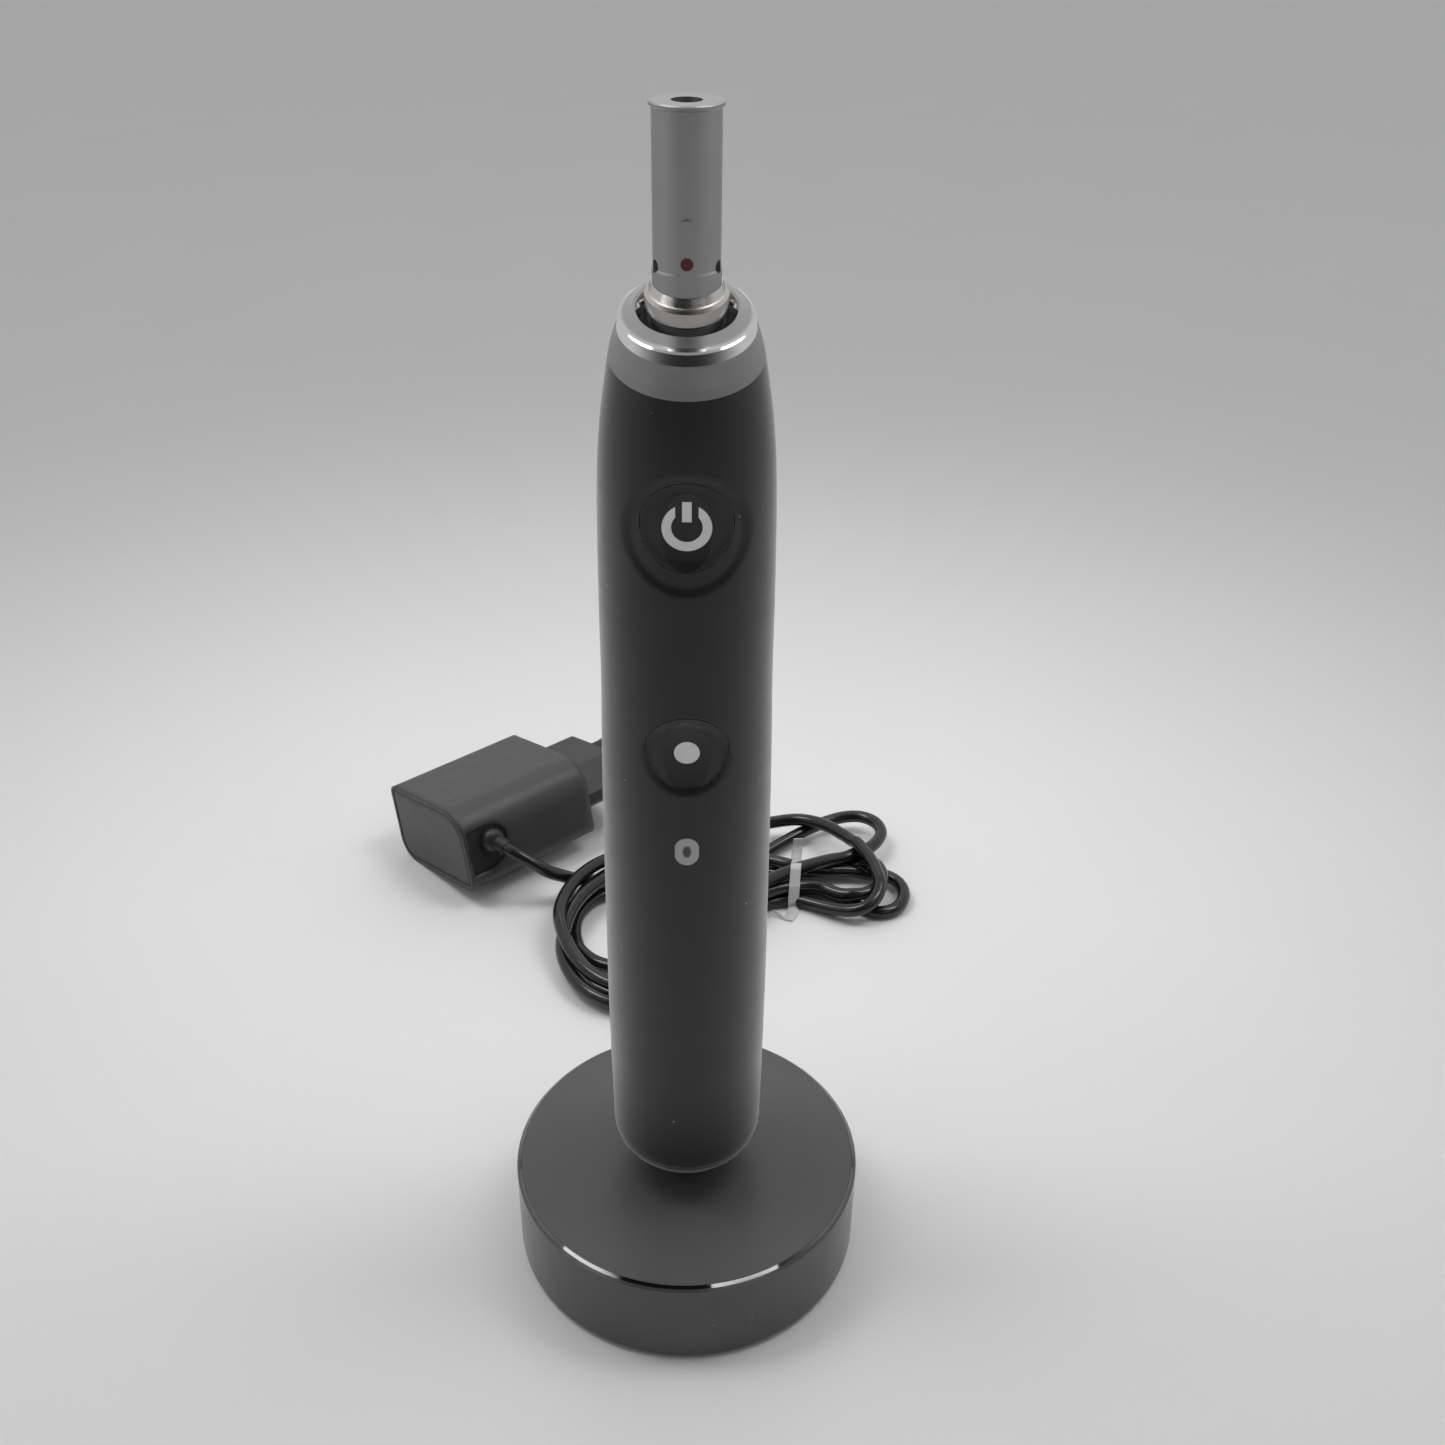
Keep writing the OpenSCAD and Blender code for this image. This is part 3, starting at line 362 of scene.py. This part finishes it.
# What makes the material of each of the record's slots
FINISHES = {
    "charger_gloss": charger_gloss_coat,
    "charger_matte": charger_top_coat,
    "base_plastic": lambda: moulded("base_plastic", grey(0.016), 0.5),
    "foot_rubber": lambda: moulded("foot_rubber", grey(0.012), 0.8, 0.5 * MM, 0.03 * MM),
    "steel": lambda: metal("steel", grey(0.58), 0.3),
    "copper": copper_wire,
    "ferrite": lambda: moulded("ferrite", grey(0.03, 0.05), 0.75, 0.4 * MM, 0.05 * MM),
    "magnet": lambda: metal("magnet", grey(0.66), 0.2),
    "board_green": board_green,
    "component": lambda: moulded("component", (0.02, 0.02, 0.035, 1), 0.35),
    "cord_vinyl": cord_vinyl,
    "boot_rubber": lambda: moulded("boot_rubber", grey(0.012), 0.42, 0.4 * MM, 0.02 * MM, 0.15),
    "tie_clear": tie_clear,
    "plug_plastic": plug_plastic,
    "plug_dark": lambda: moulded("plug_dark", grey(0.03), 0.5, 0.3 * MM, 0.014 * MM, 0.08),
    "pin_brass": lambda: metal("pin_brass", (0.70, 0.64, 0.50, 1), 0.22),
    "pin_sleeve": lambda: moulded("pin_sleeve", grey(0.02), 0.5),
    "soft_black": soft_touch,
    "cap_black": lambda: moulded("cap_black", grey(0.012), 0.55),
    "seal_rubber": lambda: moulded("seal_rubber", grey(0.008), 0.6, 0.5 * MM, 0.02 * MM),
    "chassis_white": lambda: moulded("chassis_white", grey(0.72, 0.01), 0.45),
    "battery_wrap": battery_wrap,
    "nickel_tab": lambda: metal("nickel_tab", grey(0.66, 0.03), 0.3),
    "led_white": lambda: moulded("led_white", grey(0.8, 0.02), 0.2),
    "silicone_grey": lambda: moulded("silicone_grey", grey(0.05), 0.7, 0.6 * MM, 0.02 * MM),
    "button_black": lambda: soft_coat("button_black", 0.007),
    "mark_white": lambda: moulded("mark_white", grey(0.92), 0.5, 0.3 * MM, 0.008 * MM, 0.04),
    "lens_pale": lens_pale,
    "ring_satin": frosted_ring,
    "collar_chrome": collar_metal,
    "case_metal": lambda: metal("case_metal", grey(0.5), 0.35, ALONG_Z),
    "bronze": lambda: metal("bronze", (0.52, 0.36, 0.18, 1), 0.4),
    "shaft_grey": lambda: metal("shaft_grey", grey(0.40), 0.42, ROUND_Z, 0.002 * MM),
    "nickel_ring": lambda: metal("nickel_ring", grey(0.52, 0.03), 0.24, ROUND_Z, 0.002 * MM),
    "dot_red": lambda: moulded("dot_red", (0.11, 0.018, 0.014, 1), 0.4, vary=0.25),
    "tip_brown": lambda: moulded("tip_brown", (0.12, 0.055, 0.035, 1), 0.5, 0.5 * MM, 0.03 * MM),
}
MATERIALS = {slot: make().material for slot, make in FINISHES.items()}


def paint(obj, slot):
    """Gives obj the finish of one of the record's material slots."""
    obj.data.materials.clear()
    obj.data.materials.append(MATERIALS[slot])


for part in frame["record"]["subparts"]:
    paint(frame["nodes"][part["node"]], part["material_slot"])

# ---------------------------------------------------------------- lead

LEAD_D = 3.4 * MM
LEAD_STEP = LEAD_D / 2

# From the charger's strain relief down to the floor
CHARGER_ROUTE = [
    (0, 0.0538, 0.0056), (0.0002, 0.0578, 0.0052), (0.001, 0.0616, 0.0043), (0.0024, 0.0652, 0.0033),
    (0.0044, 0.0686, 0.0024), (0.0072, 0.0716, 0.0019), (0.0103, 0.0742, 0.0018),
]
# From the plug's spout down to the floor
PLUG_ROUTE = [
    (-0.0471, 0.1063, 0.0167), (-0.0435, 0.1045, 0.0155), (-0.0395, 0.1035, 0.0135), (-0.036, 0.1035, 0.011),
    (-0.0325, 0.105, 0.0085), (-0.0295, 0.107, 0.006), (-0.026, 0.1095, 0.0035), (-0.0225, 0.1115, 0.0022),
    (-0.0185, 0.113, 0.002),
]
# The tied hank's turns in order, in millimetres: rings to the left of the tie, folds to its right
HANK_TURNS = {
    "to_first_ring": [
        (13.3, 77.8, 1.7), (15.5, 83, 1.7), (15.6, 89, 1.7), (13.2, 95.4, 1.7), (8.2, 101, 1.7),
        (1, 105.4, 1.7), (-7.5, 108, 1.8), (-15.6, 108.2, 2.4),
    ],
    "first_ring": [
        (-22.6, 105.2, 3.2), (-26.4, 101.2, 3.6), (-28.9, 95.8, 3.8), (-29.4, 89.6, 3.8),
        (-27.6, 83.4, 3.8), (-23.6, 78.4, 3.8), (-18.2, 75.8, 3.6), (-12, 75.2, 3.2),
        (-6, 77.4, 2.6), (-0.8, 81.8, 2.4), (3.8, 87.4, 2.6), (8.2, 93.4, 4.6), (13.2, 99, 5.4),
        (20, 103.4, 3.6), (28.6, 106.8, 1.9),
    ],
    "first_fold": [
        (36, 107.4, 1.8), (41.5, 103.6, 1.8), (45.8, 99.8, 1.9), (50.4, 97.8, 2.2), (55, 99.6, 2.8),
        (57.4, 104.6, 3.4), (56.6, 109.8, 4), (52.6, 113.2, 4.8), (46.6, 114.2, 5.2),
        (40, 113.8, 5), (34, 113.6, 4.8),
    ],
    "second_ring": [
        (28.6, 114, 5), (21, 116.8, 5.2), (12, 119, 5.4), (2, 119.8, 5.5), (-8, 118.2, 5.8),
        (-16.4, 114, 6.2), (-22.6, 108.4, 6.2), (-27.2, 101.8, 5.8), (-29.8, 94.6, 5),
        (-30.6, 87.2, 4.2), (-29.8, 79.6, 3.4), (-27.4, 73, 3), (-23.9, 68, 2.6),
        (-18.9, 64.8, 2.2), (-13, 63.6, 2.2), (-7, 65, 2.2), (-2.2, 69.4, 2.2), (1.6, 75.4, 2.2),
        (5.4, 82.4, 2.6), (9.6, 89.6, 4.2), (14.8, 96.4, 6.6), (21, 101.6, 5.6), (28.6, 105, 4.8),
    ],
    "second_fold": [
        (35, 105, 4.4), (39.5, 102.4, 4.2), (44.4, 101.2, 5), (49.2, 103.2, 6), (51.8, 107.8, 6.4),
        (51, 112.8, 6.2), (47, 116.2, 5), (41.6, 116.6, 3.2), (36, 115.8, 2.2),
    ],
    "third_ring": [
        (28.6, 114.9, 1.8), (21, 114, 3), (12, 113, 5), (3, 113.2, 5.6), (-6, 112.6, 6),
        (-14, 110.4, 6.8), (-21, 105.6, 8.4), (-26.4, 99, 8.4), (-29.8, 91.2, 7), (-31, 83.4, 4),
        (-30.2, 77, 2.2), (-27.8, 71, 1.8), (-24.2, 66.2, 1.7), (-19, 62.6, 1.7), (-13, 61.2, 1.7),
        (-6.6, 62.2, 2), (-1.4, 66.4, 2.2), (2.8, 72.4, 2.2), (6.6, 79.2, 2.4), (10, 86, 4.2),
        (13.2, 92.8, 5.4), (17.2, 99.4, 3.4), (22.6, 103.3, 2),
    ],
    "third_fold": [
        (28.4, 103.2, 1.9), (33.4, 100.9, 1.9), (38.4, 98, 2.4), (42.6, 96, 3.6), (46.2, 96, 5),
        (49, 98.2, 6.6), (50.4, 101.6, 8), (50.2, 105.4, 9), (49.4, 109.8, 9.4), (48, 114, 9.4),
        (45.6, 118.8, 9), (42.2, 124, 8.4), (37.6, 129.2, 8), (31.4, 132.8, 6.8), (24, 132.8, 5.6),
        (16, 130.4, 5), (8, 127, 5),
    ],
    "fourth_ring": [
        (0, 123.4, 5.6), (-8, 120, 6.8), (-15.6, 115.8, 8), (-22.5, 110.4, 9.4), (-27.1, 105, 9.8),
        (-29.8, 99.6, 9.8), (-31.5, 94, 9.6), (-32, 88.8, 9), (-31.3, 83.6, 8), (-29.6, 78.6, 6.6),
        (-27.1, 73.8, 6), (-24, 69.8, 5.6), (-20, 66.6, 5.4), (-15, 64.4, 5.4), (-9, 64.2, 5.4),
        (-4, 67.2, 5.4), (0, 72.2, 5.4), (3.8, 78.6, 5.6), (7.8, 85.6, 6.4), (12, 92.6, 8),
        (17, 98.8, 8.2), (22.8, 103.8, 8.2), (28.6, 108.2, 7.6),
    ],
    "fourth_fold": [
        (35, 111.8, 6.8), (40, 114.4, 5.4), (44.4, 116.6, 4.6), (48.4, 119.6, 4.6),
        (51.8, 123.6, 4.8), (53.7, 128.2, 5.2), (52.8, 133, 5.6), (49.2, 136.2, 5.8),
        (44.4, 136.8, 5.4), (39.4, 135.6, 4.6), (35, 133.4, 4), (30.8, 130.8, 3.4),
        (26.4, 127.6, 2.8), (21.6, 123.8, 2.2), (15.6, 120, 1.8), (8, 117, 1.8), (0, 115.2, 1.8),
        (-10, 114, 1.8),
    ],
}


def length_of(points):
    """The length of the line through the points."""
    return np.linalg.norm(np.diff(points, axis=0), axis=1).sum()


def even_line(points, step):
    """The same line with points about step apart."""
    along = np.concatenate([[0], np.cumsum(np.linalg.norm(np.diff(points, axis=0), axis=1))])
    at = np.linspace(0, along[-1], int(round(along[-1] / step)) + 1)
    return np.stack([np.interp(at, along, points[:, axis]) for axis in range(3)], 1)


def smooth_line(points, step):
    """A smooth curve through all the points, with points about step apart."""
    p = np.array(points, float)
    out = []
    for i in range(len(p) - 1):
        a, b, c, d = p[max(i - 1, 0)], p[i], p[i + 1], p[min(i + 2, len(p) - 1)]
        for t in np.linspace(0, 1, 12, endpoint=False):
            bend = (2 * a - 5 * b + 4 * c - d) * t ** 2 + (3 * b - a - 3 * c + d) * t ** 3
            out.append((2 * b + (c - a) * t + bend) / 2)
    return even_line(np.array(out + [p[-1]]), step)


# Each round of settling: the pull back to its laid place on each axis, the drop in diameters, and
# the reach in points and the strength of each pull that keeps the laid curl
SETTLE_HOLD = (0.12, 0.12, 0.03)
SETTLE_DROP = 0.006
SETTLE_CURL = ((1, 0.2), (3, 0.25), (6, 0.15))


def settle(line, thick, held_start, held_end, rounds=160):
    """Lets a laid line sink under its weight until its turns rest on each other and on the floor."""
    x, home, count = line.copy(), line.copy(), len(line)
    far_along = int(2.2 * thick / np.linalg.norm(line[1] - line[0]))
    ease = 8
    index = np.arange(count)
    free = np.clip(np.minimum(index - held_start, count - 1 - held_end - index) / ease, 0, 1)[:, None]
    for turn in range(rounds):
        if turn % 6 == 0:
            gaps = ((x[:, None] - x[None]) ** 2).sum(2)
            near = (gaps < (1.6 * thick) ** 2) & (index[None] - index[:, None] > far_along)
            first, second = np.where(near)
        move = (home - x) * SETTLE_HOLD - (0, 0, thick * SETTLE_DROP)
        for reach, pull in SETTLE_CURL:
            curl = x[:-2 * reach] - 2 * x[reach:-reach] + x[2 * reach:]
            kept = home[:-2 * reach] - 2 * home[reach:-reach] + home[2 * reach:]
            move[reach:-reach] += pull * (curl - kept * (1, 1, 0.5)) / 2
        x += move * free
        for _ in range(3):
            apart = x[second] - x[first]
            size = np.linalg.norm(apart, axis=1)
            touch = size < thick
            push = apart[touch] * ((thick - size[touch]) / 2 / size[touch])[:, None] * (0.6, 0.6, 1)
            moved, hits = np.zeros((count, 3)), np.zeros(count)
            np.add.at(moved, first[touch], -push)
            np.add.at(moved, second[touch], push)
            np.add.at(hits, np.concatenate([first[touch], second[touch]]), 1)
            x += moved / np.sqrt(np.maximum(hits, 1))[:, None] * free
            x[:, 2] = np.maximum(x[:, 2], thick / 2)
    return x


def tube_curve(name, points, diameter):
    """A curve object whose tube follows the points."""
    data = bpy.data.curves.new(name, "CURVE")
    data.dimensions = "3D"
    data.bevel_depth = diameter / 2
    data.bevel_resolution = 5
    data.use_fill_caps = True
    spline = data.splines.new("POLY")
    spline.points.add(len(points) - 1)
    spline.points.foreach_set("co", np.c_[points, np.ones(len(points))].ravel())
    spline.use_smooth = True
    obj = bpy.data.objects.new(name, data)
    scene.collection.objects.link(obj)
    return obj


def lay_lead():
    """The whole lead as one settled line, from the charger's strain relief to the plug's spout."""
    turns = [np.array(points) * MM for points in HANK_TURNS.values()]
    route = np.concatenate([CHARGER_ROUTE, *turns, PLUG_ROUTE[::-1]])
    line = smooth_line(route, LEAD_STEP)
    held = [int(length_of(end) / LEAD_STEP) for end in (CHARGER_ROUTE, PLUG_ROUTE)]
    return settle(line, LEAD_D, *held)


lead_line = lay_lead()
lead = tube_curve("lead", lead_line, LEAD_D)
paint(lead, "cord_vinyl")
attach(lead, "charger")
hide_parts("cord_charger_lead", "cord_hank", "cord_plug_lead")

# ---------------------------------------------------------------- twist tie

TIE_X = 28.4 * MM
TIE_W = 2.8 * MM
TIE_T = 0.35 * MM
# The tie leans by TIE_LEAN about its middle, and holds the strands that lie nearer than TIE_BACK
TIE_MIDDLE = 0.105
TIE_LEAN = 0.13
TIE_BACK = 0.122


def ribbon(path, across, closed):
    """Points and faces of a flat strap along the path, with its width along across."""
    points, faces = [], []
    count = len(path)
    for i, p in enumerate(path):
        before = path[i - 1] if closed or i else p
        after = path[(i + 1) % count] if closed or i < count - 1 else p
        face_out = (after - before).cross(across).normalized()
        for sideways, out in ((-1, -1), (1, -1), (1, 1), (-1, 1)):
            points.append(p + across * sideways * TIE_W / 2 + face_out * out * TIE_T / 2)
    for i in range(count if closed else count - 1):
        j = (i + 1) % count
        for k in range(4):
            m = (k + 1) % 4
            faces.append((4 * i + k, 4 * i + m, 4 * j + m, 4 * j + k))
    if not closed:
        faces += [(3, 2, 1, 0), tuple(4 * count - 4 + k for k in range(4))]
    return points, faces


def hull_round(centres, radius):
    """The outline of a tight loop round circles with those centres, as points about evenly turned."""
    outline = []
    for i in range(72):
        a = math.tau * i / 72
        way = np.array((math.cos(a), math.sin(a)))
        outline.append(centres[int(np.argmax(centres @ way))] + way * radius)
    return outline


def add_tie():
    """The clear strap that holds the hank together, with its two ends standing out."""
    x, y, z = lead_line.T
    crossing = np.where((x[:-1] - TIE_X) * (x[1:] - TIE_X) <= 0)[0]
    strands = np.array([(y[i], z[i]) for i in crossing if y[i] < TIE_BACK])
    across = Vector((1, 0.1, -0.05)).normalized()
    loop = []
    for a, b in hull_round(strands, LEAD_D / 2 + TIE_T * 0.6):
        b = max(b, TIE_T / 2)
        loop.append(Vector((TIE_X + (a - TIE_MIDDLE) * TIE_LEAN, a, b)))
    front, back = strands[:, 0].min() / MM - 2, strands[:, 0].max() / MM + 2
    floor_end = [(28, front, 1.2), (27.4, 98.6, 0.5), (26.4, 97, 0.3), (24.8, 97.4, 0.5), (23.4, 98.6, 1.3)]
    back_end = [(29.5, back, 4), (29.7, back + 1, 6), (30, back + 1.8, 8), (30.2, back + 2, 10)]
    points, faces = ribbon(loop, across, True)
    for end, way in ((floor_end, Vector((0.75, -0.6, 0))), (back_end, across)):
        path = [Vector(p) * MM for p in end]
        more_points, more_faces = ribbon(path, way.normalized(), False)
        faces += [tuple(len(points) + i for i in face) for face in more_faces]
        points += more_points
    mesh = bpy.data.meshes.new("tie")
    mesh.from_pydata(points, [], faces)
    shape = bmesh.new()
    shape.from_mesh(mesh)
    bmesh.ops.recalc_face_normals(shape, faces=shape.faces)
    shape.to_mesh(mesh)
    shape.free()
    tie = bpy.data.objects.new("tie", mesh)
    scene.collection.objects.link(tie)
    paint(tie, "tie_clear")
    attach(tie, "charger")
    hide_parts("twist_tie")


add_tie()

# ---------------------------------------------------------------- floor and light

# Half the floor's width and depth
FLOOR_HALF = 6.0
# The way to the photographer's side, where the room is dark
DARK_SIDE = (0.0, -0.94, 0.34)
# Cosine from the dark side where the world is bright, where it is dark, and the two strengths
WORLD_FADE = (0.1, 0.8, 0.75, 0.03)


def add_floor():
    """A large pale floor with a faint paper mottle."""
    mesh = bpy.data.meshes.new("floor")
    signs = ((-1, -1), (1, -1), (1, 1), (-1, 1))
    mesh.from_pydata([(a * FLOOR_HALF, b * FLOOR_HALF, 0) for a, b in signs], [], [(0, 1, 2, 3)])
    floor = bpy.data.objects.new("floor", mesh)
    scene.collection.objects.link(floor)
    n = Nodes("pale_paper")
    slow = n.noise(60 * MM, 5)
    n.set("Base Color", n.mix(slow, grey(0.74), grey(0.77)))
    n.set("Roughness", n.remap(n.noise(30 * MM, 4), 0.3, 0.7, 0.75, 0.9))
    n.set("Specular IOR Level", 0.2)
    n.bump(n.noise(0.4 * MM, 3), 0.3, 0.01 * MM)
    mesh.materials.append(n.material)


def add_area(name, at, look_at, size, power, spread, roll=0):
    """A rectangular lamp in watts. spread and roll about the way it looks are in degrees."""
    data = bpy.data.lights.new(name, "AREA")
    data.spread = math.radians(spread)
    data.shape = "RECTANGLE"
    data.size, data.size_y = size
    data.energy = power
    light = bpy.data.objects.new(name, data)
    light.location = at
    light.rotation_mode = "QUATERNION"
    aim = (Vector(look_at) - Vector(at)).to_track_quat("-Z", "Y")
    light.rotation_quaternion = aim @ Quaternion((0, 0, 1), math.radians(roll))
    scene.collection.objects.link(light)


def add_world():
    """Soft light from all round, with the dark of the photographer's side at the front."""
    world = bpy.data.worlds.new("world")
    scene.world = world
    world.use_nodes = True
    nodes, links = world.node_tree.nodes, world.node_tree.links
    direction = nodes.new("ShaderNodeTexCoord").outputs["Generated"]
    facing = nodes.new("ShaderNodeVectorMath")
    facing.operation = "DOT_PRODUCT"
    links.new(direction, facing.inputs[0])
    facing.inputs[1].default_value = DARK_SIDE
    fade = nodes.new("ShaderNodeMapRange")
    fade.interpolation_type = "SMOOTHSTEP"
    links.new(facing.outputs["Value"], fade.inputs[0])
    for socket, value in zip(fade.inputs[1:5], WORLD_FADE):
        socket.default_value = value
    links.new(fade.outputs[0], nodes["Background"].inputs["Strength"])
    nodes["Background"].inputs["Color"].default_value = grey(1.0)


add_floor()
add_world()
add_area("left", (-0.30, 0.10, 0.70), (0.0, 0.12, 0.0), (0.22, 0.34), 0.15, 50)
add_area("right", (0.30, 0.10, 0.70), (0.0, 0.12, 0.0), (0.22, 0.34), 0.13, 50)
add_area("left glint", (-0.48, -0.28, 0.74), (0.0, -0.02, 0.02), (0.45, 0.03), 0.25, 180, 24)
add_area("right glint", (0.48, -0.28, 0.74), (0.0, -0.02, 0.02), (0.45, 0.03), 0.25, 180, -24)
add_area("left rim", (-0.61, -0.38, 0.41), (0.0, -0.03, 0.02), (0.48, 0.03), 0.22, 180, 17)
add_area("right rim", (0.39, -0.55, 0.49), (0.0, -0.03, 0.02), (0.5, 0.03), 0.22, 180, -12)
add_area("back", (0.0, 0.62, 0.72), (0.0, 0.0, 0.0), (0.3, 0.2), 0.2, 180)
